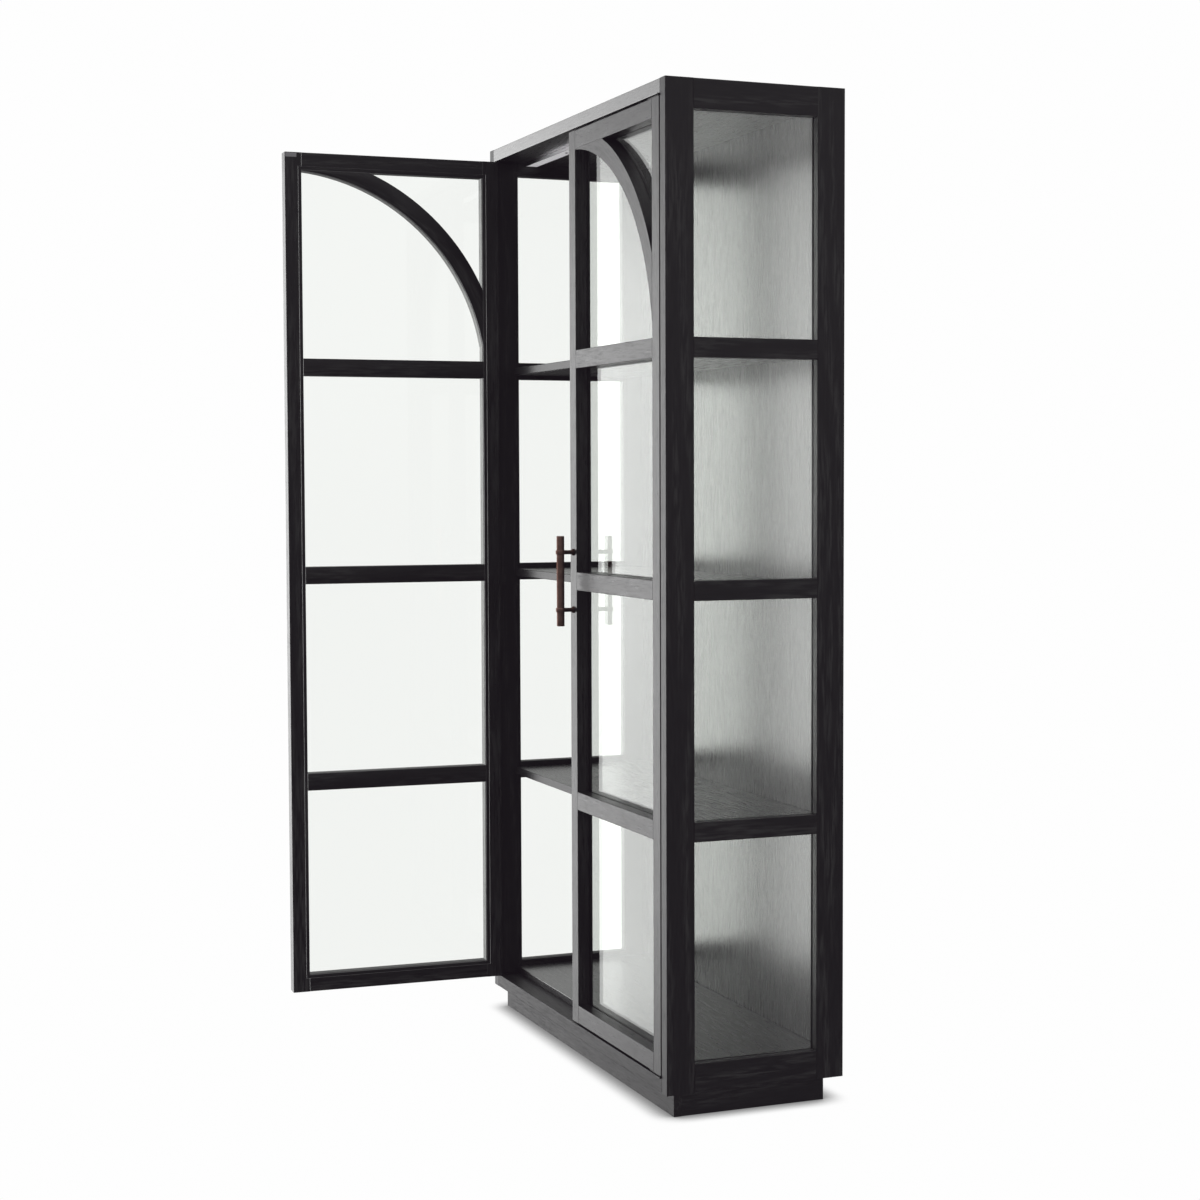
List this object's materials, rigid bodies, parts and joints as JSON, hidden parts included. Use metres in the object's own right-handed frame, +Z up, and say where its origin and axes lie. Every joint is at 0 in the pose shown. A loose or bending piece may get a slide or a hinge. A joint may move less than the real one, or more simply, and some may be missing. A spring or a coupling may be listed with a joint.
{
  "type": "glass display showcase",
  "caption": "Tall glazed display cabinet with an arched double door, shelves, a ceiling light strip, a bar handle and a recessed plinth.",
  "frame": {"origin": "on the floor, at the middle of the carcase's footprint, under the plinth's centre rail", "axes": "+X right, +Y to the back panel, +Z up; the doors face -Y"},
  "size_m": [1.1, 0.9184, 2.1],
  "materials": {
    "black_oak": "black-stained oak veneer and solid oak under a satin clear lacquer, with open grain",
    "clear_glass": "clear 4 mm float glass with polished edges",
    "aged_bronze": "brown aged bronze, brushed along the bar",
    "black_metal": "black zinc-plated steel",
    "satin_aluminium": "satin anodised aluminium extrusion",
    "opal_plastic": "opal diffuser",
    "black_plastic": "moulded black plastic"
  },
  "bodies": {
    "carcase": {"back_panel": "black_oak", "bottom_panel": "black_oak", "inner_floor": "black_oak", "left_bottom_pivot_plate": "black_metal", "left_side_bottom_rail": "black_oak", "left_side_front_stile": "black_oak", "left_side_glass": "clear_glass", "left_side_lower_bar": "black_oak", "left_side_middle_bar": "black_oak", "left_side_rear_stile": "black_oak", "left_side_top_rail": "black_oak", "left_side_upper_bar": "black_oak", "left_top_pivot_plate": "black_metal", "light_channel": "satin_aluminium", "light_cover": "opal_plastic", "lower_shelf": "black_oak", "magnetic_catch": "black_plastic", "middle_shelf": "black_oak", "plinth_back": "black_oak", "plinth_centre_rail": "black_oak", "plinth_front": "black_oak", "plinth_left": "black_oak", "plinth_right": "black_oak", "right_bottom_pivot_plate": "black_metal", "right_side_bottom_rail": "black_oak", "right_side_front_stile": "black_oak", "right_side_glass": "clear_glass", "right_side_lower_bar": "black_oak", "right_side_middle_bar": "black_oak", "right_side_rear_stile": "black_oak", "right_side_top_rail": "black_oak", "right_side_upper_bar": "black_oak", "right_top_pivot_plate": "black_metal", "top_panel": "black_oak", "upper_shelf": "black_oak"},
    "left_door": {"left_door_arch": "black_oak", "left_door_bottom_plate": "black_metal", "left_door_bottom_rail": "black_oak", "left_door_glass": "clear_glass", "left_door_hinge_stile": "black_oak", "left_door_lower_bar": "black_oak", "left_door_meeting_stile": "black_oak", "left_door_middle_bar": "black_oak", "left_door_top_plate": "black_metal", "left_door_top_rail": "black_oak", "left_door_upper_bar": "black_oak"},
    "right_door": {"handle_bar": "aged_bronze", "handle_lower_post": "aged_bronze", "handle_upper_post": "aged_bronze", "right_door_arch": "black_oak", "right_door_bottom_plate": "black_metal", "right_door_bottom_rail": "black_oak", "right_door_glass": "clear_glass", "right_door_hinge_stile": "black_oak", "right_door_lower_bar": "black_oak", "right_door_meeting_stile": "black_oak", "right_door_middle_bar": "black_oak", "right_door_top_plate": "black_metal", "right_door_top_rail": "black_oak", "right_door_upper_bar": "black_oak"}
  },
  "joints": [
    {"name": "left_door_hinge", "type": "hinge", "parent": "carcase", "child": "left_door", "pos_m": [-0.5185, -0.2005, 1.076], "axis": [0, 0, 1], "range_deg": [-18, 92]},
    {"name": "right_door_hinge", "type": "hinge", "parent": "carcase", "child": "right_door", "pos_m": [0.5185, -0.2005, 1.076], "axis": [0, 0, 1], "range_deg": [0, 110]}
  ]
}
